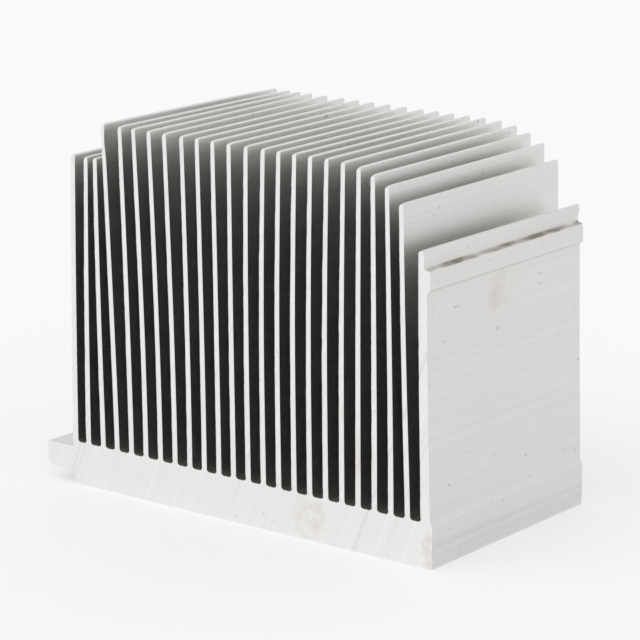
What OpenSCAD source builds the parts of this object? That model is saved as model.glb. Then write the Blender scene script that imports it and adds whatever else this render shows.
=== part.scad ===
// Extruded aluminium heat sink.
// One piece: a thick base that carries a comb of thin uprights, two of them end walls.
// X runs across the uprights, Y along the extrusion, Z up from the flat seat.
// The origin is at the middle of the underside of the bounding box.

/* [Overall] */
// Length of the extrusion, from one sawn end to the other
length = 54.7; // [30:0.1:150]
// Height of the tall fins above the seat
height = 80; // [74:1:110]
// Number of uprights, the two end walls included
upright_count = 24; // [20:1:30]
// Spacing of the uprights at their roots
pitch = 4; // [3.6:0.1:6]

/* [Base] */
// Height of the channel floors above the seat
floor_z = 9.5; // [8.5:0.1:14]
// Radius in the two corners of every channel floor
floor_r = 0.7; // [0.3:0.05:1]
// Distance that the right side of the base stands out past the foot of the wall
ledge_w = 0.6; // [0.3:0.1:1.5]
// Height of the outer edge of that ledge above the seat
ledge_z = 9.1; // [6:0.1:9.5]
// Rise of the ledge from its outer edge to the foot of the wall
ledge_rise = 0.6; // [0.3:0.1:1]
// Radius of the outer edges of the base on the right
base_edge_r = 0.4; // [0.2:0.05:1]

/* [Tongue] */
// Distance that the tongue on the left reaches out from the end wall
tongue_w = 7.4; // [3:0.1:12]
// Height of the top of the tongue above the seat
tongue_top_z = 8.2; // [7:0.1:8.4]
// Height of the underside of the tongue above the seat
tongue_under_z = 2.9; // [1:0.1:3.5]
// Radius of the lower outer edge of the tongue
tongue_r = 2; // [0.5:0.1:3]
// Radius of the upper outer edge of the tongue
tongue_edge_r = 0.3; // [0.1:0.05:0.6]
// Set-back of the seat's left edge under the tongue
undercut = 0.7; // [0:0.1:2]

/* [Fins] */
// Thickness of a fin at its root
fin_root_t = 1.25; // [1:0.05:1.8]
// Thickness of a fin at its tip
fin_tip_t = 0.95; // [0.8:0.05:1.4]
// Radius of the two long edges of a fin's tip
tip_r = 0.3; // [0.1:0.05:0.35]
// Number of uprights on the left that are cut short, the end wall included
short_count = 3; // [1:1:6]
// Height of the short uprights above the seat
short_top_z = 72.4; // [50:1:73]
// Run, across the fins, of the rounded shoulder on the right
shoulder_run = 22; // [14:1:40]
// Fall of that shoulder from the tall fins to its outer end
shoulder_fall = 13; // [4:1:20]

/* [End walls] */
// Thickness of the left wall at its root
left_root_t = 1.4; // [1:0.05:2]
// Thickness of the left wall at its top
left_tip_t = 1.05; // [0.8:0.05:1.6]
// Thickness of the right wall at its root
right_root_t = 2.15; // [1.6:0.05:3]
// Thickness of the right wall under its lip
right_tip_t = 1.9; // [1.4:0.05:2.5]
// Height of the right wall above the seat
right_top_z = 64.7; // [45:0.1:72]

/* [Lip and band on the right wall] */
// Thickness of the lip along the top of the wall
lip_t = 1.3; // [1:0.05:1.8]
// Height of the lip, from the band to the top of the wall
lip_h = 3.8; // [2.5:0.1:8]
// Distance that the raised band stands out from the wall
band_out = 0.8; // [0.3:0.1:1.5]
// Height of the raised band
band_h = 4.6; // [2:0.1:10]
// Radius of the band's upper edge
band_r = 0.8; // [0.3:0.1:1]

/* [Leaning of the uprights] */
// Share of the lean and bow that the uprights have; 0 makes them straight
lean_share = 1; // [0:0.1:1.2]
// How late along its height an upright leans; 1 is a straight slope
lean_power = 1.2; // [1:0.1:2]

/* [Hidden] */

// Sideways place of each root beside its even pitch, and sideways reach of each tip
// beside its root: [upright, mm], with even steps between the uprights named.
ROOT_SHIFT = [
    [1, 0.3], [2, 0], [3, 0.2], [4, 0.1], [9, 0.2], [13, -0.15], [17, -0.15], [23, 0.35],
    [24, 0.7]
];
TIP_LEAN = [
    [1, 0.5], [2, 0.4], [3, -1.3], [4, -2.9], [5, -2.3], [6, -2.6], [8, -2.3], [9, -1.7],
    [11, -1.35], [12, -1], [13, -0.5], [14, -0.1], [19, -0.15], [20, -0.4], [22, -1.7],
    [23, -2.3], [24, -1.45]
];
// Sideways bow of each upright at half its height, from root to tip: [upright, mm]
BOW = [
    [1, -0.1], [3, -0.25], [4, -0.05], [6, 0.2], [9, 0.1], [11, 0], [14, -0.45], [18, -0.4],
    [21, 0], [22, 0], [23, -0.3], [24, -0.2]
];

side_steps = 6;   // straight steps along each face of an upright
arc_steps = 3;    // straight steps along a small round edge
round_steps = 8;  // straight steps along the larger rounds

// The shoulder ends a little before the right wall.
shoulder_end = upright_count - 0.3;
shoulder_start = shoulder_end - shoulder_run / pitch;

// ---- small helpers ----

function mix(a, b, t) = a + (b - a) * t;

// Points of an arc about [cx, cz], from one angle to the other, both ends included.
function arc(cx, cz, r, from, to, steps) = [
    for (k = [0:steps])
        let (a = mix(from, to, k / steps))
        [cx + r * cos(a), cz + r * sin(a)]
];

function joined(lists) = [for (part = lists) each part];

// ---- one upright ----

// The tall fins run level, then follow a quarter of an ellipse down to the right.
function shoulder_z(i) =
    let (u = min(1, max(0, (i - shoulder_start) / (shoulder_end - shoulder_start))))
    height - shoulder_fall * (1 - sqrt(1 - u * u));

function top_z(i) =
    i <= short_count ? short_top_z :
    i == upright_count ? right_top_z :
    shoulder_z(i);

function root_t(i) = i == 1 ? left_root_t : i == upright_count ? right_root_t : fin_root_t;
function tip_t(i) = i == 1 ? left_tip_t : i == upright_count ? right_tip_t : fin_tip_t;

// The lists above name 24 uprights; any other number is read at the same share of the row.
function listed(i) = 1 + (i - 1) * (24 - 1) / (upright_count - 1);

function rise(i, z) = min(1, max(0, (z - floor_z) / (top_z(i) - floor_z)));

// Middle of an upright at height z: even pitch, then shift, lean and bow.
function middle_x(i, z) =
    let (t = rise(i, z), k = listed(i))
    (i - 1) * pitch + lookup(k, ROOT_SHIFT)
        + lean_share * (lookup(k, TIP_LEAN) * pow(t, lean_power) + lookup(k, BOW) * sin(180 * t));

// One face of an upright at height z: side is 1 for its right face, -1 for its left.
function face_x(i, z, side) = middle_x(i, z) + side * mix(root_t(i), tip_t(i), rise(i, z)) / 2;

// Points along one face from z0 to z1, without the two ends.
function face_run(i, side, z0, z1, steps = side_steps) = [
    for (k = [1:steps - 1])
        let (z = mix(z0, z1, k / steps))
        [face_x(i, z, side), z]
];

// The rounded tip of a fin, from its right face over to its left.
function fin_tip(i) =
    let (z = top_z(i) - tip_r)
    joined([
        arc(face_x(i, z, 1) - tip_r, z, tip_r, 0, 90, arc_steps),
        arc(face_x(i, z, -1) + tip_r, z, tip_r, 90, 180, arc_steps)
    ]);

// The floor of the channel to the right of upright i, from right to left.
function channel_floor(i) =
    let (z = floor_z + floor_r)
    joined([
        arc(face_x(i + 1, z, -1) - floor_r, z, floor_r, 360, 270, arc_steps),
        arc(face_x(i, z, 1) + floor_r, z, floor_r, 270, 180, arc_steps)
    ]);

// A thin fin and the channel on its right: floor, right face, tip, left face.
function channel_and_fin(i) =
    let (root_z = floor_z + floor_r, round_z = top_z(i) - tip_r)
    joined([
        channel_floor(i),
        face_run(i, 1, root_z, round_z),
        fin_tip(i),
        face_run(i, -1, round_z, root_z)
    ]);

// ---- the right wall and the side of the base under it ----

foot_x = face_x(upright_count, floor_z, 1);
foot_z = ledge_z + ledge_rise;
band_z0 = right_top_z - lip_h - band_h;
band_z1 = right_top_z - lip_h;
band_under = 0.6; // rise of the band's sloping underside
band_edge_r = 0.2; // radius of the band's lower edge
band_edge_from = 300; // angle at which that round leaves the sloping underside
cove_r = 0.5; // radius of the coves at the foot of the lip and of the wall

// The ledge slopes up and in; its slope turns the outline by this angle at both ends.
ledge_turn = atan2(ledge_w, ledge_rise);
ledge_tangent = base_edge_r * tan(ledge_turn / 2);
cove_tangent = cove_r * tan((90 - ledge_turn) / 2);

function base_right() =
    let (x = foot_x + ledge_w - base_edge_r)
    joined([
        arc(x, base_edge_r, base_edge_r, 270, 360, arc_steps),
        arc(x, ledge_z - ledge_tangent, base_edge_r, 0, ledge_turn, arc_steps),
        arc(foot_x + cove_r, foot_z + cove_tangent, cove_r, 180 + ledge_turn, 180, arc_steps)
    ]);

function wall_outer(z) = face_x(upright_count, z, 1);
function lip_outer(z) = face_x(upright_count, z, -1) + lip_t;

function right_wall_outside() =
    joined([
        face_run(upright_count, 1, foot_z, band_z0),
        [[wall_outer(band_z0), band_z0]],
        arc(wall_outer(band_z0) + band_out - band_edge_r, band_z0 + band_under + band_edge_r,
            band_edge_r, band_edge_from, 360, arc_steps),
        arc(wall_outer(band_z1) + band_out - band_r, band_z1 - band_r, band_r, 0, 90, round_steps),
        arc(lip_outer(band_z1) + cove_r, band_z1 + cove_r, cove_r, 270, 180, arc_steps),
        arc(lip_outer(right_top_z) - lip_t / 2, right_top_z - lip_t / 2, lip_t / 2, 0, 180,
            2 * round_steps)
    ]);

function right_wall_inside() =
    face_run(upright_count, -1, right_top_z - lip_t / 2, floor_z + floor_r);

// ---- the left wall and the tongue at its foot ----

left_x = face_x(1, floor_z, -1);
tongue_x = left_x - tongue_w;

function left_wall() =
    joined([
        channel_floor(1),
        face_run(1, 1, floor_z + floor_r, short_top_z - tip_r),
        fin_tip(1),
        face_run(1, -1, short_top_z - tip_r, floor_z),
        [[left_x, floor_z]]
    ]);

function tongue() =
    let (lower_z = tongue_under_z + tongue_r)
    joined([
        [[left_x, tongue_top_z]],
        arc(tongue_x + tongue_edge_r, tongue_top_z - tongue_edge_r, tongue_edge_r, 90, 180,
            arc_steps),
        arc(tongue_x + tongue_r, lower_z, tongue_r, 180, 270, round_steps),
        [[left_x, tongue_under_z]],
        [[left_x + undercut, 0]]
    ]);

// ---- the whole section ----

function section() =
    joined([
        base_right(),
        right_wall_outside(),
        right_wall_inside(),
        joined([for (i = [upright_count - 1:-1:2]) channel_and_fin(i)]),
        left_wall(),
        tongue()
    ]);

// Middle of the bounding box across the uprights
middle = (tongue_x + foot_x + ledge_w) / 2;

module heat_sink() {
    color("silver")
        rotate([90, 0, 0])
            linear_extrude(height = length, center = true)
                translate([-middle, 0])
                    polygon(section());
}

heat_sink();
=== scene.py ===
"""An extruded aluminium heat sink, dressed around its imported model.

The file is laid out as an add-on and run as a script. It carries one section along the extrusion
as a single closed skin, with its saw burrs, worn corners and bent fins. It gives the skin a mill
finish and a sawn finish, and sets up a pale floor, soft lamps and a camera.
"""

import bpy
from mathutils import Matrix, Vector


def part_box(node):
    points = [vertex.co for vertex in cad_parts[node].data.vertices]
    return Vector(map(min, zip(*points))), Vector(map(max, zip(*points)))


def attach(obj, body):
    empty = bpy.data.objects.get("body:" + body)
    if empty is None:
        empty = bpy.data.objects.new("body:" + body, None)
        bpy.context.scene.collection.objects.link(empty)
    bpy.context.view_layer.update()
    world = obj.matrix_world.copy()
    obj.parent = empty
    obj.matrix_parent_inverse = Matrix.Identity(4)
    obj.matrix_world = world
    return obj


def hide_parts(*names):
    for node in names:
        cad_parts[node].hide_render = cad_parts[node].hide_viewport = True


bl_info = {
    "name": "Extruded Heat Sink",
    "version": (1, 0, 0),
    "blender": (4, 5, 0),
    "location": "View3D > Sidebar > Heat Sink",
    "description": "Builds the skin, finishes and stage of an extruded comb heat sink",
    "category": "Add Mesh",
}

from math import cos, radians, sin, tan

import bpy
import numpy as np
from bpy.props import FloatProperty, FloatVectorProperty, IntProperty, PointerProperty
from mathutils import Euler, Vector

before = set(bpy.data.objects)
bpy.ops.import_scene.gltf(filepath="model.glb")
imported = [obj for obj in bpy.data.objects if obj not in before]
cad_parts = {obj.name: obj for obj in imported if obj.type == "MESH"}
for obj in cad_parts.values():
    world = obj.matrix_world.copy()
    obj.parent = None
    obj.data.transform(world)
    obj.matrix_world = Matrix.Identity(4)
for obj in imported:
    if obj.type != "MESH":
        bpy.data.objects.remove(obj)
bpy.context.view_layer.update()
NODE = "heat_sink"
LOW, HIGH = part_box(NODE)
LENGTH = HIGH.y - LOW.y
HEIGHT = HIGH.z - LOW.z
MM = 0.001
UPRIGHTS = 24

# Sideways place of each root beside its even pitch, sideways reach of each tip beside its root,
# bow at half height, and reach of the bent tips at the far end: (upright, mm).
ROOT_SHIFT = ((1, 0.3), (2, 0), (3, 0.2), (4, 0.1), (9, 0.2), (13, -0.15), (17, -0.15), (23, 0.35),
              (24, 0.7))
TIP_LEAN = ((1, 0.5), (2, 0.4), (3, -1.3), (4, -2.9), (5, -2.3), (6, -2.6), (8, -2.3), (9, -1.7),
            (11, -1.35), (12, -1), (13, -0.5), (14, -0.1), (19, -0.15), (20, -0.4), (22, -1.7),
            (23, -2.3), (24, -1.45))
BOW = ((1, -0.1), (3, -0.25), (4, -0.05), (6, 0.2), (9, 0.1), (11, 0), (14, -0.45), (18, -0.4),
       (21, 0), (22, 0), (23, -0.3), (24, -0.2))
FAR_BEND = ((3, 0), (4, 2.7), (5, 1.7), (6, 1), (7, 0))
LEAN_POWER = 1.2  # how late along its height an upright leans
BEND_EVEN = 0.55  # share of a far bend that grows evenly along the length
BEND_LATE = 6  # how late along the length the rest of it comes
SHOULDER_STOP = 0.3  # spacings between the end of the shoulder and the right wall
BAND_EDGE_FROM = 300  # degrees at which the round of the band's lower edge starts

FACE_STEPS = 10  # steps along a left-hand face of an upright
RIGHT_STEPS = 36  # steps along a right-hand face
BURR_STEPS = 28  # finer steps in each of those, on the faces whose sawn edge is ragged
ARC_STEPS = 4
ROUND_STEPS = 8
LENGTH_STEPS = 9  # even steps along the length, between the two sawn ends
FRONT_RINGS = (0.0, 0.12, 0.3)  # mm from the front sawn end, where the burrs need a fine outline
BURR_SHARES = (1, 0.4, 0)  # share of the burrs' reach that is left at each of those
BURR_TURNS = (0.3, 0.62)  # least and greatest turn of the burrs' wave from point to point
BURR_SHORT = (9, 0.35)  # points between the heights of their short swelling, and least height
BURR_LONG = (70, 0.4)  # the same for their long swelling
WEAR_RINGS = (0.6, 1.2, 2.2, 3.6, 5.4)  # mm from it, where the worn corners fade out

# Wear of the front corners of the tips, as a share of the deepest wear: (upright, share)
TIP_WEAR = ((1, 0.5), (2, 0.7), (3, 0.3), (4, 1), (5, 0.8), (6, 0.4), (8, 0.55), (10, 0.35),
            (13, 0.6), (17, 0.4), (19, 0.6), (20, 1), (22, 0.9), (23, 0.7), (24, 0.6))
CORNER_HEIGHT = 1.2 * MM  # height of a worn tip corner
CORNER_LENGTH = 1.5 * MM  # length of extrusion over which that wear fades
CORNER_HALF = 0.3 * MM  # distance from the middle line at which that wear is whole
CORNER_SINK = 0.7  # share of that wear that also lowers the corner
CORNER_RIGHT = 0.4  # share of it that the right-hand side of the tip has
DISH_LOW = 73 * MM  # lower end of the dish in the first tall fin
DISH_HEIGHT = 6.4 * MM
DISH_LENGTH = 3.6 * MM  # length of extrusion over which that dish fades
SHARP_ANGLE = radians(30)  # least turn between two faces that shades as an edge

# Zones of the mill finish, in mm: start and end of the zone, and the fade outside it
BASE_SIDE_Z, BASE_SIDE_X = (0.3, 9.2, 0.3), (49, 60, 1)
CREASE_Z, CREASE_X = (60.75, 61.15, 0.2), (47.5, 49.9, 0.3)
CHANNEL_FLOOR_Z, CHANNEL_FLOOR_X = (9.3, 9.9, 0.5), (-43, 48, 0.5)
STREAK = ((-0.5, 51.5), (7, 6.5))  # middle and reach along Y and Z, in mm

# Smears on the sawn metal: middle and reach along X and Z, in mm, and strength
SMEARS = (((20.5, 5.0), (4.6, 6.0), 0.5), ((50.2, 3.5), (1.8, 4.5), 0.7),
          ((-42.9, 0.6), (1.2, 1.0), 0.9), ((28.9, 25.0), (0.9, 6.0), 0.45),
          ((32.7, 18.0), (0.9, 9.0), 0.45), ((36.4, 19.0), (0.9, 6.0), 0.4))
SAW_SLANT = radians(22)  # lean of the saw lines to the right, from upright

AIM = Vector((1.62 * MM, LOW.y + 28.03 * MM, 37.82 * MM))  # what the camera looks at
FLOOR_REACH = 4.0  # metres from the middle of the floor to its sides
KEY_DIRECTION, KEY_SPREAD = (0.45, 0.7, -1.0), radians(50)
FILL_DIRECTION, FILL_SPREAD = (-0.8, 0.3, -0.7), radians(60)


def length_property(name, description, millimetres):
    """A length that a user may change, kept in metres."""
    return FloatProperty(name=name, description=description, default=millimetres * MM, min=0,
                         precision=5, unit="LENGTH", subtype="DISTANCE")


def colour_property(name, description, colour):
    """A linear colour that a user may change."""
    return FloatVectorProperty(name=name, description=description, default=colour, size=3, min=0,
                               max=1, subtype="COLOR")


class HeatSinkSizes(bpy.types.PropertyGroup):
    pitch: length_property("Pitch", "Spacing of the uprights at their roots", 4)
    floor_z: length_property("Floor", "Height of the channel floors above the seat", 9.5)
    floor_r: length_property("Floor corners", "Radius in the corners of a channel floor", 0.7)
    fin_root_t: length_property("Fin root", "Thickness of a fin at its root", 1.25)
    fin_tip_t: length_property("Fin tip", "Thickness of a fin at its tip", 0.95)
    tip_r: length_property("Tip radius", "Radius of the long edges of a fin's tip", 0.3)
    short_count: IntProperty(name="Short uprights", default=3, min=1, max=6,
                             description="Number of uprights on the left that are cut short")
    short_top_z: length_property("Short height", "Height of the short uprights", 72.4)
    shoulder_run: length_property("Shoulder run", "Run of the rounded shoulder", 22)
    shoulder_fall: length_property("Shoulder fall", "Fall of the shoulder to its outer end", 13)
    left_root_t: length_property("Left wall root", "Thickness of the left wall's root", 1.4)
    left_tip_t: length_property("Left wall top", "Thickness of the left wall's top", 1.05)
    right_root_t: length_property("Right wall root", "Thickness of the right wall's root", 2.15)
    right_tip_t: length_property("Right wall top", "Thickness of the right wall's top", 1.9)
    right_top_z: length_property("Right wall height", "Height of the right wall", 64.7)
    ledge_w: length_property("Ledge width", "Reach of the base past the right wall", 0.6)
    ledge_z: length_property("Ledge height", "Height of the ledge's outer edge", 9.1)
    ledge_rise: length_property("Ledge rise", "Rise of the ledge to the wall's foot", 0.6)
    base_edge_r: length_property("Base edges", "Radius of the base's right edges", 0.4)
    tongue_w: length_property("Tongue", "Reach of the tongue past the left wall", 7.4)
    tongue_top_z: length_property("Tongue top", "Height of the tongue's top", 8.2)
    tongue_under_z: length_property("Tongue underside", "Height of the tongue's underside", 2.9)
    tongue_r: length_property("Tongue round", "Radius of the tongue's lower edge", 2)
    tongue_edge_r: length_property("Tongue edge", "Radius of the tongue's upper edge", 0.3)
    undercut: length_property("Undercut", "Set-back of the seat's left edge", 0.7)
    lip_t: length_property("Lip thickness", "Thickness of the lip on the right wall", 1.3)
    lip_h: length_property("Lip height", "Height of that lip above the band", 3.8)
    band_out: length_property("Band depth", "Distance that the band stands out", 0.8)
    band_h: length_property("Band height", "Height of the raised band", 4.6)
    band_r: length_property("Band edge", "Radius of the band's upper edge", 0.8)
    band_under: length_property("Band underside", "Rise of the band's sloping underside", 0.6)
    band_edge_r: length_property("Band lower edge", "Radius of the band's lower edge", 0.2)
    cove_r: length_property("Coves", "Radius at the feet of the lip and of the wall", 0.5)
    bend_z: length_property("Bend start", "Height at which the bent fins leave the section", 30)
    burr: length_property("Burr", "Greatest reach of the saw burrs over a fin's edge", 0.3)
    tip_wear: length_property("Tip wear", "Deepest wear of a tip's front corner", 0.3)
    lip_flare: length_property("Lip flare", "Outward bend of the lip at the far end", 0.6)
    corner_dish: length_property("Corner dish", "Depth of the dish in the first tall fin", 0.28)


class HeatSinkFinish(bpy.types.PropertyGroup):
    mill: colour_property("Mill finish", "Colour of the extruded faces", (0.76, 0.755, 0.735))
    sawn: colour_property("Sawn metal", "Colour of the sawn ends", (0.87, 0.865, 0.85))
    grime: colour_property("Grime", "Colour of the dirt in the creases", (0.30, 0.25, 0.20))
    stain: colour_property("Stain", "Colour of the faint brown smears", (0.60, 0.50, 0.38))
    scale: FloatProperty(name="Line spacing", description="Spacing of the die lines, in metres",
                         default=0.0007, min=0.0001, precision=5, unit="LENGTH")


class HeatSinkStage(bpy.types.PropertyGroup):
    floor: colour_property("Floor", "Colour of the floor", (0.92, 0.92, 0.925))
    backdrop: colour_property("Backdrop", "Colour seen behind the object", (0.95, 0.95, 0.96))
    floor_glow: FloatProperty(name="Floor glow", default=0.5, min=0, max=1, subtype="FACTOR",
                              description="Share of the floor's brightness that has no shadow")
    world_light: FloatProperty(name="World", description="Strength of the world's light",
                               default=0.84, min=0)
    key_light: FloatProperty(name="Key", description="Strength of the key lamp", default=0.55,
                             min=0)
    fill_light: FloatProperty(name="Fill", description="Strength of the fill lamp", default=0.25,
                              min=0)
    azimuth: FloatProperty(name="Azimuth", description="Camera's turn to the right of the front",
                           default=radians(37.347), subtype="ANGLE")
    elevation: FloatProperty(name="Elevation", description="Camera's height over the level",
                             default=radians(14.432), subtype="ANGLE")
    roll: FloatProperty(name="Roll", description="Camera's turn about its own axis",
                        default=radians(0.2), subtype="ANGLE")
    distance: length_property("Distance", "Distance from the camera to its aim", 661.4)
    lens: FloatProperty(name="Lens", description="Focal length in millimetres", default=175.82)


# ---- the section, worked out for all the uprights at once ----


def listed(table, uprights):
    """Values of an (upright, value) list at the uprights, with even steps between those named."""
    known, values = np.array(table, float).T
    return np.interp(uprights, known, values)


def arc(centre, radius, start, end, steps):
    """Points centre + radius (cos a, sin a) for even steps of a, in degrees; the centre's two
    coordinates may be arrays with one entry for each upright."""
    a = np.radians(np.linspace(start, end, steps + 1))
    x = np.asarray(centre[0])[..., None] + radius * np.cos(a)
    z = np.asarray(centre[1])[..., None] + radius * np.sin(a)
    return np.stack(np.broadcast_arrays(x, z), -1)


class Comb:
    """The uprights of the section: their tops, thicknesses, middle lines and faces."""

    def __init__(self, sizes):
        self.s = sizes
        count = np.arange(1, UPRIGHTS + 1)
        end = UPRIGHTS - SHOULDER_STOP
        start = end - sizes.shoulder_run / sizes.pitch
        u = np.clip((count - start) / (end - start), 0, 1)
        self.top = HEIGHT - sizes.shoulder_fall * (1 - np.sqrt(1 - u * u))
        self.top[: sizes.short_count] = sizes.short_top_z
        self.top[-1] = sizes.right_top_z
        self.root_t = np.full(UPRIGHTS, sizes.fin_root_t)
        self.tip_t = np.full(UPRIGHTS, sizes.fin_tip_t)
        self.root_t[[0, -1]] = sizes.left_root_t, sizes.right_root_t
        self.tip_t[[0, -1]] = sizes.left_tip_t, sizes.right_tip_t
        self.place = (count - 1) * sizes.pitch + listed(ROOT_SHIFT, count) * MM
        self.lean = listed(TIP_LEAN, count) * MM
        self.bow = listed(BOW, count) * MM

    def face_x(self, i, z, side):
        """Face of the uprights with indexes i at heights z: the middle line, which is the root's
        place plus lean times a power of the rise plus bow times sin(180 rise), and half the
        thickness to the given side."""
        i = np.asarray(i)
        rise = np.clip((z - self.s.floor_z) / (self.top[i] - self.s.floor_z), 0, 1)
        lean = self.lean[i] * rise**LEAN_POWER
        middle = self.place[i] + lean + self.bow[i] * np.sin(np.pi * rise)
        thickness = self.root_t[i] + (self.tip_t[i] - self.root_t[i]) * rise
        return middle + side * thickness / 2

    def face(self, i, z0, z1, side, steps):
        """Points up or down one face of each upright in i, in even steps, without the two ends."""
        i = np.atleast_1d(i)
        t = np.linspace(0, 1, steps + 1)[1:-1]
        z = np.multiply.outer(1 - t, np.broadcast_to(z0, i.shape)).T
        z = z + np.multiply.outer(t, np.broadcast_to(z1, i.shape)).T
        return np.stack([self.face_x(i[:, None], z, side), z], -1)


def teeth(comb):
    """The thin uprights and the left wall, from the right one to the left one, each as one run
    with the channel floor on its right: floor arcs, right face, tip arcs, left face.
    Returns the points (uprights, points, 2), which of them the coarse outline keeps,
    and which lie on a left face."""
    s = comb.s
    i = np.arange(UPRIGHTS - 2, -1, -1)
    root = np.full(i.shape, s.floor_z + s.floor_r)
    tip = comb.top[i] - s.tip_r
    runs = [
        arc((comb.face_x(i + 1, root, -1) - s.floor_r, root), s.floor_r, 360, 270, ARC_STEPS),
        arc((comb.face_x(i, root, 1) + s.floor_r, root), s.floor_r, 270, 180, ARC_STEPS),
        comb.face(i, root, tip, 1, RIGHT_STEPS),
        arc((comb.face_x(i, tip, 1) - s.tip_r, tip), s.tip_r, 0, 90, ARC_STEPS),
        arc((comb.face_x(i, tip, -1) + s.tip_r, tip), s.tip_r, 90, 180, ARC_STEPS),
        comb.face(i, tip, root, -1, FACE_STEPS * BURR_STEPS),
    ]
    points = np.concatenate(runs, axis=1)
    left = np.zeros(points.shape[:2], bool)
    left[:, -runs[-1].shape[1] :] = True
    kept = ~left
    kept[:, -runs[-1].shape[1] + BURR_STEPS - 1 :: BURR_STEPS] = True
    return points, kept, left


def right_side(comb):
    """The base's right side, the ledge, the right wall with its band and lip, and its inner
    face, from the seat round to the channel floor. Returns points, kept marks and marks of
    the left-hand face as teeth() does."""
    s = comb.s
    last = UPRIGHTS - 1
    foot_x = comb.face_x(last, s.floor_z, 1)
    foot_z = s.ledge_z + s.ledge_rise
    turn = np.degrees(np.arctan2(s.ledge_w, s.ledge_rise))
    ledge_tangent = s.base_edge_r * tan(radians(turn / 2))
    cove_tangent = s.cove_r * tan(radians((90 - turn) / 2))
    edge_x = foot_x + s.ledge_w - s.base_edge_r
    band0 = s.right_top_z - s.lip_h - s.band_h
    band1 = s.right_top_z - s.lip_h
    band_x0, band_x1 = comb.face_x(last, np.array([band0, band1]), 1) + s.band_out
    lip_x = comb.face_x(last, np.array([band1, s.right_top_z]), -1) + s.lip_t
    half = s.lip_t / 2
    outside = [
        arc((edge_x, s.base_edge_r), s.base_edge_r, 270, 360, ARC_STEPS),
        arc((edge_x, s.ledge_z - ledge_tangent), s.base_edge_r, 0, turn, ARC_STEPS),
        arc((foot_x + s.cove_r, foot_z + cove_tangent), s.cove_r, 180 + turn, 180, ARC_STEPS),
        comb.face(last, foot_z, band0, 1, RIGHT_STEPS)[0],
        [[band_x0 - s.band_out, band0]],
        arc((band_x0 - s.band_edge_r, band0 + s.band_under + s.band_edge_r), s.band_edge_r,
            BAND_EDGE_FROM, 360, ARC_STEPS),
        arc((band_x1 - s.band_r, band1 - s.band_r), s.band_r, 0, 90, ROUND_STEPS),
        arc((lip_x[0] + s.cove_r, band1 + s.cove_r), s.cove_r, 270, 180, ARC_STEPS),
        arc((lip_x[1] - half, s.right_top_z - half), half, 0, 180, 2 * ROUND_STEPS),
    ]
    inside = comb.face(last, s.right_top_z - half, s.floor_z + s.floor_r, -1,
                       FACE_STEPS * BURR_STEPS)[0]
    points = np.concatenate([*outside, inside])
    left = np.zeros(len(points), bool)
    left[-len(inside) :] = True
    kept = ~left
    kept[-len(inside) + BURR_STEPS - 1 :: BURR_STEPS] = True
    return points, kept, left


def tongue(comb):
    """The left wall's foot, the tongue and the seat's undercut left edge, down to the seat."""
    s = comb.s
    wall_x = comb.face_x(0, s.floor_z, -1)
    tip_x = wall_x - s.tongue_w
    runs = [
        [[wall_x, s.floor_z], [wall_x, s.tongue_top_z]],
        arc((tip_x + s.tongue_edge_r, s.tongue_top_z - s.tongue_edge_r), s.tongue_edge_r, 90, 180,
            ARC_STEPS),
        arc((tip_x + s.tongue_r, s.tongue_under_z + s.tongue_r), s.tongue_r, 180, 270,
            ROUND_STEPS),
        [[wall_x, s.tongue_under_z], [wall_x + s.undercut, 0]],
    ]
    return np.concatenate(runs)


def section(comb):
    """The whole outline, from the seat's right end round over the uprights to its left end.
    Returns a dict of arrays with one entry a point: x and z, the upright it belongs to
    (0 for none), the upright's middle line at that height, whether the coarse outline keeps
    it, and whether it is on a left-hand face."""
    fins, fins_kept, fins_left = teeth(comb)
    side, side_kept, side_left = right_side(comb)
    foot = tongue(comb)
    order = np.arange(UPRIGHTS - 1, 0, -1)
    points = np.concatenate([side, fins.reshape(-1, 2), foot])
    middle = (points[:, 0].min() + points[:, 0].max()) / 2
    none = np.zeros(len(foot), bool)
    upright = np.concatenate([np.full(len(side), UPRIGHTS), np.repeat(order, fins.shape[1]),
                              np.zeros(len(foot), int)])
    return {
        "x": points[:, 0] - middle,
        "z": points[:, 1],
        "upright": upright,
        "centre": comb.face_x(np.maximum(upright, 1) - 1, points[:, 1], 0) - middle,
        "kept": np.concatenate([side_kept, fins_kept.ravel(), ~none]),
        "left": np.concatenate([side_left, fins_left.ravel(), none]),
    }


# ---- what changes the section along its length: bends, burrs, wear ----


def bend(comb, outline, u):
    """Sideways bend at share u of the length from the front end: the far tip's reach, times an
    even part and a late part that grows as a power of u, times the square of the share of the
    height above the bend's start."""
    upright = outline["upright"]
    top = comb.top[np.maximum(upright, 1) - 1]
    up = np.clip((outline["z"] - comb.s.bend_z) / (top - comb.s.bend_z), 0, 1)
    along = BEND_EVEN * u + (1 - BEND_EVEN) * u**BEND_LATE
    return listed(FAR_BEND, upright) * MM * along * up**2


def swelling(draw, n, step, low):
    """Random heights from low to 1, one every step points, with even slopes between them."""
    knots = n // step + 2
    return np.interp(np.arange(n), np.arange(knots) * step, draw.uniform(low, 1, knots))


def burrs(outline, sizes, seed=7):
    """Reach of the ragged burrs over the sawn edges of the left-hand faces: a cosine wave whose
    phase runs on unevenly, by about half a turn a point, times two random swellings, a short
    one and a long one."""
    draw = np.random.default_rng(seed)
    n = len(outline["x"])
    tooth = 0.5 + 0.5 * np.cos(2 * np.pi * np.cumsum(draw.uniform(*BURR_TURNS, n)))
    short = swelling(draw, n, *BURR_SHORT)
    long = swelling(draw, n, *BURR_LONG)
    return np.where(outline["left"], sizes.burr * tooth * short * long, 0)


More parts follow.
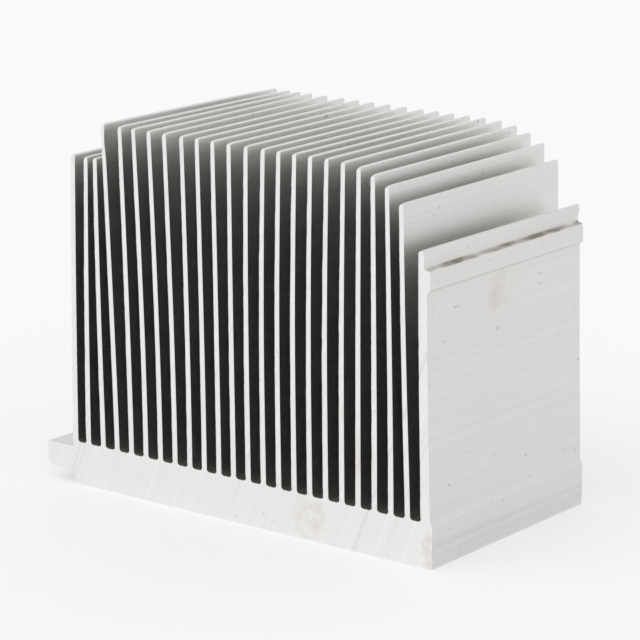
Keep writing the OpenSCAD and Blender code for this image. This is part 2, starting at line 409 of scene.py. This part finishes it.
def front_wear(comb, outline, distance):
    """Wear near the front end, as (sideways, downward) moves. Each tip's front corner is worn
    round: its points draw in to the middle line and down by the fin's wear, times the square
    of their share of the corner's height, times the square of a fade along the length. The
    first tall fin's right face is dished, as a half sine over the height with a like fade."""
    s = comb.s
    upright, z = outline["upright"], outline["z"]
    top = comb.top[np.maximum(upright, 1) - 1]
    up = np.where(upright > 0, np.clip((z - top) / CORNER_HEIGHT + 1, 0, 1), 0) ** 2
    fade = max(0, 1 - distance / CORNER_LENGTH) ** 2
    wear = s.tip_wear * listed(TIP_WEAR, upright) * up * fade
    off = outline["x"] - outline["centre"]
    side = np.where(upright == UPRIGHTS, 0, np.clip(off / CORNER_HALF, -1, CORNER_RIGHT))
    share = np.clip((z - DISH_LOW) / DISH_HEIGHT, 0, 1)
    own = (upright == s.short_count + 1) & (off > 0)
    dish = np.where(own, s.corner_dish * np.sin(np.pi * share), 0)
    return -side * wear - dish * max(0, 1 - distance / DISH_LENGTH), -CORNER_SINK * wear


def lip_flare(comb, outline, u):
    """Outward bend of the right wall's lip towards the far end: its reach times the share of the
    height up the lip, times the square of the share u of the length."""
    s = comb.s
    up = np.clip((outline["z"] - (s.right_top_z - s.lip_h)) / s.lip_h, 0, 1)
    return np.where(outline["upright"] == UPRIGHTS, s.lip_flare * up * u**2, 0)


def skin(comb):
    """One closed skin: the section's outline carried along the length as rings, fine at the
    front end and coarse behind, moved sideways by the bends, burrs and wear of each ring.
    Where the fine outline meets the coarse one, each coarse point fans out to the fine points
    up to the next coarse one. Returns vertices, and faces as arrays: quads, triangles, caps."""
    outline = section(comb)
    kept = outline["kept"]
    coarse = {name: values[kept] for name, values in outline.items()}
    fine_n, coarse_n = len(outline["x"]), len(coarse["x"])
    ragged = burrs(outline, comb.s)
    fine_y = np.array(FRONT_RINGS) * MM
    even = np.linspace(WEAR_RINGS[-1] * MM, LENGTH, LENGTH_STEPS + 1)[1:]
    coarse_y = np.concatenate([np.array(WEAR_RINGS) * MM, even])
    shares = (*BURR_SHARES, *np.zeros(len(coarse_y)))
    rings = []
    for y, share in zip((*fine_y, *coarse_y), shares):
        ring = outline if len(rings) < len(fine_y) else coarse
        sideways, down = front_wear(comb, ring, y)
        x = ring["x"] + bend(comb, ring, y / LENGTH) + lip_flare(comb, ring, y / LENGTH) + sideways
        if share:
            x = x - share * ragged
        rings.append(np.stack([x, np.full(len(x), LOW.y + y), ring["z"] + down], -1))
    vertices = np.concatenate(rings)

    quads = [ring_quads(k * fine_n, fine_n) for k in range(len(fine_y) - 1)]
    first_coarse = len(fine_y) * fine_n
    quads += [ring_quads(first_coarse + k * coarse_n, coarse_n) for k in range(len(coarse_y) - 1)]
    triangles = fan(kept, first_coarse - fine_n, first_coarse)
    front_cap = np.arange(fine_n)
    back_cap = len(vertices) - 1 - np.arange(coarse_n)
    return vertices, np.concatenate(quads), triangles, (front_cap, back_cap)


def ring_quads(start, n):
    """Quads between a ring of n points that starts at index start and the ring after it."""
    a = np.arange(n)
    b = (a + 1) % n
    return start + np.stack([a, a + n, b + n, b], -1)


def fan(kept, fine_start, coarse_start):
    """Triangles that join a fine ring to a coarse one: kept marks the fine points that have a
    coarse one. Fine point k and its next one join to the coarse point at or before k, and at
    each kept point the two coarse points close the fan."""
    n = len(kept)
    fine = np.arange(n)
    following = (fine + 1) % n
    corner = np.cumsum(kept) - 1
    m = corner[-1] + 1
    spokes = np.stack([fine_start + fine, coarse_start + corner, fine_start + following], -1)
    ends = np.flatnonzero(kept)
    after = (corner[ends] + 1) % m
    closing = np.stack([fine_start + np.roll(ends, -1), coarse_start + corner[ends],
                        coarse_start + after], -1)
    return np.concatenate([spokes, closing])


# ---- materials ----


def add_node(tree, kind, settings=None, **inputs):
    """A new node with its settings, and its inputs set to values or linked to sockets; an
    input is named by its label, with spaces written as underscores, or by in0, in1, ..."""
    made = tree.nodes.new(kind)
    for name, value in (settings or {}).items():
        setattr(made, name, value)
    for name, value in inputs.items():
        key = int(name[2:]) if name[:2] == "in" and name[2:].isdigit() else name.replace("_", " ")
        if isinstance(value, bpy.types.NodeSocket):
            tree.links.new(value, made.inputs[key])
        else:
            made.inputs[key].default_value = value
    return made


def maths(tree, operation, a, b=0.0, c=0.0, clamp=False):
    """One arithmetic step on sockets or numbers."""
    settings = {"operation": operation, "use_clamp": clamp}
    return add_node(tree, "ShaderNodeMath", settings, in0=a, in1=b, in2=c).outputs[0]


def blend(tree, share, a, b, kind="MIX"):
    """Colour b over colour a by share."""
    made = add_node(tree, "ShaderNodeMix", {"data_type": "RGBA", "blend_type": kind,
                                            "clamp_factor": True})
    for socket, value in zip((made.inputs[0], made.inputs[6], made.inputs[7]), (share, a, b)):
        if isinstance(value, bpy.types.NodeSocket):
            tree.links.new(value, socket)
        else:
            socket.default_value = value
    return made.outputs[2]


def rgba(colour, share=1.0):
    """A colour property, made darker or lighter by share, as four numbers."""
    return (*(min(1.0, c * share) for c in colour), 1.0)


def window(tree, value, low, high, soft):
    """1 where value lies between low and high, fading to 0 over soft on either side."""
    up = add_node(tree, "ShaderNodeMapRange", {"interpolation_type": "SMOOTHSTEP"}, Value=value,
                  From_Min=low - soft, From_Max=low, To_Min=0.0, To_Max=1.0).outputs[0]
    down = add_node(tree, "ShaderNodeMapRange", {"interpolation_type": "SMOOTHSTEP"}, Value=value,
                    From_Min=high, From_Max=high + soft, To_Min=1.0, To_Max=0.0).outputs[0]
    return maths(tree, "MULTIPLY", up, down)


def zone(tree, axes, heights, places):
    """1 inside a zone given by its heights and its places across, in mm, with soft edges."""
    z, x = (window(tree, axes[k], *(v * MM for v in limits)) for k, limits in
            ((2, heights), (0, places)))
    return maths(tree, "MULTIPLY", z, x)


def noise(tree, vector, scale, detail=2.0, roughness=0.5, stretch=(1, 1, 1), turn=(0, 0, 0)):
    """Noise on object coordinates, turned, then stretched; scale is in features a metre."""
    mapped = add_node(tree, "ShaderNodeMapping", Vector=vector, Rotation=turn)
    stretched = add_node(tree, "ShaderNodeMapping", Vector=mapped.outputs[0], Scale=stretch)
    return add_node(tree, "ShaderNodeTexNoise", Vector=stretched.outputs[0], Scale=scale,
                    Detail=detail, Roughness=roughness).outputs[0]


def above(tree, value, low, high):
    """Value mapped so that low gives 0 and high gives 1, and cut off outside."""
    return add_node(tree, "ShaderNodeMapRange", Value=value, From_Min=low, From_Max=high,
                    To_Min=0.0, To_Max=1.0).outputs[0]


def new_material(name):
    """An empty node material with its output, shader and object coordinates."""
    material = bpy.data.materials.new(name)
    material.use_nodes = True
    tree = material.node_tree
    tree.nodes.clear()
    output = tree.nodes.new("ShaderNodeOutputMaterial")
    shader = tree.nodes.new("ShaderNodeBsdfPrincipled")
    tree.links.new(shader.outputs[0], output.inputs[0])
    place = tree.nodes.new("ShaderNodeTexCoord").outputs["Object"]
    axes = add_node(tree, "ShaderNodeSeparateXYZ", Vector=place).outputs
    return material, tree, shader, place, axes


def patch(tree, axes, across, centre, reach, ragged):
    """A soft ragged patch: 1 at its centre and 0 outside its reach, on the two axes in across;
    ragged is a noise that eats its rim."""
    parts = []
    for axis, c, r in zip(across, centre, reach):
        away = maths(tree, "DIVIDE", maths(tree, "SUBTRACT", axes[axis], c * MM), r * MM)
        parts.append(maths(tree, "MULTIPLY", away, away))
    spread = maths(tree, "ADD", *parts)
    edge = maths(tree, "SUBTRACT", 1.0, spread, clamp=True)
    return maths(tree, "MULTIPLY", edge, ragged, clamp=True)


def mill_finish(finish):
    """Extruded metal: fine die lines along the extrusion, soft mottling, specks, grime in the
    creases and a few faint streaks."""
    material, tree, shader, place, axes = new_material("mill_finish_aluminium")
    lines = noise(tree, place, 1 / finish.scale, 3.0, 0.6, (1, 0.004, 1))
    coarse_lines = noise(tree, place, 0.35 / finish.scale, 2.0, 0.5, (1, 0.006, 1))
    mottle = noise(tree, place, 60, 4.0, 0.6, (1, 0.4, 1))
    specks = above(tree, noise(tree, place, 900, 1.0, 0.5, (1, 0.6, 1)), 0.735, 0.78)

    colour = blend(tree, above(tree, lines, 0.35, 0.7), rgba(finish.mill, 0.955),
                   rgba(finish.mill, 1.03))
    colour = blend(tree, maths(tree, "MULTIPLY", above(tree, mottle, 0.45, 0.75), 0.25), colour,
                   rgba(finish.mill, 0.9))
    base_side = zone(tree, axes, BASE_SIDE_Z, BASE_SIDE_X)
    base_lines = maths(tree, "MULTIPLY", above(tree, coarse_lines, 0.5, 0.62), base_side)
    colour = blend(tree, maths(tree, "MULTIPLY", base_lines, 0.35), colour,
                   rgba(finish.mill, 0.8))
    colour = blend(tree, maths(tree, "MULTIPLY", specks, 0.5), colour,
                   rgba(finish.mill, 0.45))
    smear = noise(tree, place, 140, 3.0, 0.6, (1, 0.7, 0.7))
    streak = patch(tree, axes, (1, 2), *STREAK, above(tree, smear, 0.45, 0.75))
    colour = blend(tree, maths(tree, "MULTIPLY", streak, 0.6), colour, rgba(finish.stain))
    crease = zone(tree, axes, CREASE_Z, CREASE_X)
    patchy = above(tree, noise(tree, place, 250, 2.0, 0.5, (1, 0.6, 1)), 0.3, 0.6)
    colour = blend(tree, maths(tree, "MULTIPLY", crease, patchy), colour, rgba(finish.grime))
    floor_dirt = zone(tree, axes, CHANNEL_FLOOR_Z, CHANNEL_FLOOR_X)
    colour = blend(tree, maths(tree, "MULTIPLY", floor_dirt, 0.45), colour, rgba(finish.grime))

    tree.links.new(colour, shader.inputs["Base Color"])
    shader.inputs["Metallic"].default_value = 1.0
    shader.inputs["Anisotropic"].default_value = 0.8
    shader.inputs["Anisotropic Rotation"].default_value = 0.25
    along = add_node(tree, "ShaderNodeCombineXYZ", Y=1.0)
    tree.links.new(along.outputs[0], shader.inputs["Tangent"])
    rough = maths(tree, "ADD", 0.33, maths(tree, "MULTIPLY", lines, 0.12))
    rough = maths(tree, "ADD", rough, maths(tree, "MULTIPLY", floor_dirt, 0.3))
    tree.links.new(rough, shader.inputs["Roughness"])
    height = maths(tree, "ADD", maths(tree, "MULTIPLY", lines, 0.35),
                   maths(tree, "MULTIPLY", base_lines, 0.6))
    bump = add_node(tree, "ShaderNodeBump", Strength=0.2, Distance=0.00005, Height=height)
    tree.links.new(bump.outputs[0], shader.inputs["Normal"])
    return material


def sawn_finish(finish):
    """Sawn metal: slanting saw lines, bright with a few darker scores, pits, and smears."""
    material, tree, shader, place, axes = new_material("sawn_aluminium")
    slant = (0, -SAW_SLANT, 0)
    fine = noise(tree, place, 3200, 2.0, 0.5, (1, 1, 0.012), slant)
    scores = noise(tree, place, 420, 2.0, 0.6, (1, 1, 0.006), slant)
    mottle = noise(tree, place, 220, 3.0, 0.6)
    pits = above(tree, noise(tree, place, 1100, 1.0, 0.5), 0.75, 0.8)

    colour = blend(tree, above(tree, fine, 0.35, 0.7), rgba(finish.sawn, 0.97),
                   rgba(finish.sawn, 1.03))
    dark_scores = maths(tree, "MULTIPLY", above(tree, scores, 0.64, 0.72), 0.35)
    colour = blend(tree, dark_scores, colour, rgba(finish.sawn, 0.72))
    colour = blend(tree, maths(tree, "MULTIPLY", pits, 0.6), colour,
                   rgba(finish.sawn, 0.35))
    rim = above(tree, mottle, 0.4, 0.65)
    for centre, reach, strength in SMEARS:
        spot = patch(tree, axes, (0, 2), centre, reach, rim)
        colour = blend(tree, maths(tree, "MULTIPLY", spot, strength), colour, rgba(finish.stain))
    tree.links.new(colour, shader.inputs["Base Color"])
    shader.inputs["Metallic"].default_value = 0.6
    shader.inputs["Roughness"].default_value = 0.5
    height = maths(tree, "ADD", maths(tree, "MULTIPLY", fine, 0.3),
                   maths(tree, "MULTIPLY", scores, 0.5))
    bump = add_node(tree, "ShaderNodeBump", Strength=0.4, Distance=0.00006, Height=height)
    tree.links.new(bump.outputs[0], shader.inputs["Normal"])
    return material


# ---- operators ----


def mesh_object(name, vertices, faces):
    """A mesh object at the origin from numpy vertices and lists of faces."""
    mesh = bpy.data.meshes.new(name)
    mesh.from_pydata(vertices.tolist(), [], faces)
    mesh.validate()
    made = bpy.data.objects.new(name, mesh)
    bpy.context.scene.collection.objects.link(made)
    return made


class HEATSINK_OT_extrusion(bpy.types.Operator):
    """Build the extrusion's skin with its two finishes, in place of its plain solid"""

    bl_idname = "heatsink.extrusion"
    bl_label = "Heat Sink Extrusion"

    def execute(self, context):
        comb = Comb(context.scene.heat_sink_sizes)
        vertices, quads, triangles, caps = skin(comb)
        faces = [*quads.tolist(), *triangles.tolist(), *(cap.tolist() for cap in caps)]
        piece = mesh_object("extruded_heat_sink", vertices, faces)
        mesh = piece.data
        finish = context.scene.heat_sink_finish
        mesh.materials.append(mill_finish(finish))
        mesh.materials.append(sawn_finish(finish))
        sawn = np.zeros(len(mesh.polygons), np.int32)
        sawn[-len(caps) :] = 1
        mesh.polygons.foreach_set("material_index", sawn)
        mesh.polygons.foreach_set("use_smooth", np.ones(len(mesh.polygons), bool))
        mesh.set_sharp_from_angle(angle=SHARP_ANGLE)
        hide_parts(NODE)
        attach(piece, "root")
        return {"FINISHED"}


def seen_or_mirrored(tree):
    """1 for the camera's own rays and for those in reflections and through glass."""
    path = tree.nodes.new("ShaderNodeLightPath").outputs
    mirrored = maths(tree, "MAXIMUM", path["Is Glossy Ray"], path["Is Transmission Ray"])
    return maths(tree, "MAXIMUM", path["Is Camera Ray"], mirrored)


def floor_paint(stage):
    """A plain pale paint with the faintest mottling, which glows a little where it is seen, so
    that the shadows on it stay soft."""
    material, tree, shader, place, _ = new_material("pale_floor")
    soft = noise(tree, place, 14, 3.0, 0.5)
    made = blend(tree, maths(tree, "MULTIPLY", soft, 0.06), rgba(stage.floor),
                 rgba(stage.floor, 0.97))
    tree.links.new(made, shader.inputs["Base Color"])
    shader.inputs["Roughness"].default_value = 0.8
    glow = add_node(tree, "ShaderNodeEmission", Color=rgba(stage.backdrop))
    share = maths(tree, "MULTIPLY", seen_or_mirrored(tree), stage.floor_glow)
    mix = tree.nodes.new("ShaderNodeMixShader")
    tree.links.new(share, mix.inputs[0])
    tree.links.new(shader.outputs[0], mix.inputs[1])
    tree.links.new(glow.outputs[0], mix.inputs[2])
    output = next(n for n in tree.nodes if n.type == "OUTPUT_MATERIAL")
    tree.links.new(mix.outputs[0], output.inputs[0])
    return material


def lamp(name, direction, strength, softness):
    """A distant soft lamp that shines along a direction, spread over an angle."""
    data = bpy.data.lights.new(name, "SUN")
    data.energy = strength
    data.angle = softness
    made = bpy.data.objects.new(name, data)
    bpy.context.scene.collection.objects.link(made)
    made.rotation_euler = Vector(direction).to_track_quat("-Z", "Y").to_euler()


def pale_world(backdrop, strength):
    """A white world of the given strength that shows as the backdrop's colour to the camera
    and in reflections."""
    world = bpy.data.worlds.new("pale_studio")
    world.use_nodes = True
    tree = world.node_tree
    tree.nodes.clear()
    output = tree.nodes.new("ShaderNodeOutputWorld")
    light = add_node(tree, "ShaderNodeBackground", Color=(1, 1, 1, 1), Strength=strength)
    shown = add_node(tree, "ShaderNodeBackground", Color=rgba(backdrop), Strength=1.0)
    mix = tree.nodes.new("ShaderNodeMixShader")
    tree.links.new(seen_or_mirrored(tree), mix.inputs[0])
    tree.links.new(light.outputs[0], mix.inputs[1])
    tree.links.new(shown.outputs[0], mix.inputs[2])
    tree.links.new(mix.outputs[0], output.inputs[0])
    return world


def camera_on(stage, aim):
    """The camera, by azimuth, elevation, roll and distance about its aim."""
    data = bpy.data.cameras.new("camera")
    data.lens = stage.lens
    data.sensor_width = 36
    data.clip_start = 0.01
    data.clip_end = 20
    made = bpy.data.objects.new("camera", data)
    bpy.context.scene.collection.objects.link(made)
    level = stage.distance * cos(stage.elevation)
    away = Vector((level * sin(stage.azimuth), -level * cos(stage.azimuth),
                   stage.distance * sin(stage.elevation)))
    made.location = aim + away
    turned = Euler((radians(90) - stage.elevation, 0, stage.azimuth)).to_quaternion()
    made.rotation_euler = (turned @ Euler((0, 0, stage.roll)).to_quaternion()).to_euler()
    return made


class HEATSINK_OT_stage(bpy.types.Operator):
    """Lay the pale floor and set up the world, the soft lamps and the camera"""

    bl_idname = "heatsink.stage"
    bl_label = "Heat Sink Stage"

    def execute(self, context):
        scene = context.scene
        stage = scene.heat_sink_stage
        corners = np.array([[-1, -1, 0], [1, -1, 0], [1, 1, 0], [-1, 1, 0]]) * FLOOR_REACH
        floor = mesh_object("studio_floor", corners, [[0, 1, 2, 3]])
        floor.data.materials.append(floor_paint(stage))
        scene.world = pale_world(stage.backdrop, stage.world_light)
        lamp("key_softbox", KEY_DIRECTION, stage.key_light, KEY_SPREAD)
        lamp("fill_softbox", FILL_DIRECTION, stage.fill_light, FILL_SPREAD)
        scene.camera = camera_on(stage, AIM)
        scene.view_settings.view_transform = "Standard"
        return {"FINISHED"}


class HEATSINK_PT_panel(bpy.types.Panel):
    """Panel that lists what the add-on builds"""

    bl_idname = "HEATSINK_PT_panel"
    bl_label = "Heat Sink"
    bl_space_type = "VIEW_3D"
    bl_region_type = "UI"
    bl_category = "Heat Sink"

    def draw(self, context):
        for operator in OPERATORS:
            self.layout.operator(operator.bl_idname)


OPERATORS = (HEATSINK_OT_extrusion, HEATSINK_OT_stage)
CLASSES = (HeatSinkSizes, HeatSinkFinish, HeatSinkStage, *OPERATORS, HEATSINK_PT_panel)


def register():
    for made in CLASSES:
        bpy.utils.register_class(made)
    bpy.types.Scene.heat_sink_sizes = PointerProperty(type=HeatSinkSizes)
    bpy.types.Scene.heat_sink_finish = PointerProperty(type=HeatSinkFinish)
    bpy.types.Scene.heat_sink_stage = PointerProperty(type=HeatSinkStage)


def unregister():
    del bpy.types.Scene.heat_sink_stage
    del bpy.types.Scene.heat_sink_finish
    del bpy.types.Scene.heat_sink_sizes
    for made in reversed(CLASSES):
        bpy.utils.unregister_class(made)


def main():
    register()
    bpy.ops.heatsink.extrusion()
    bpy.ops.heatsink.stage()


if __name__ == "__main__":
    main()
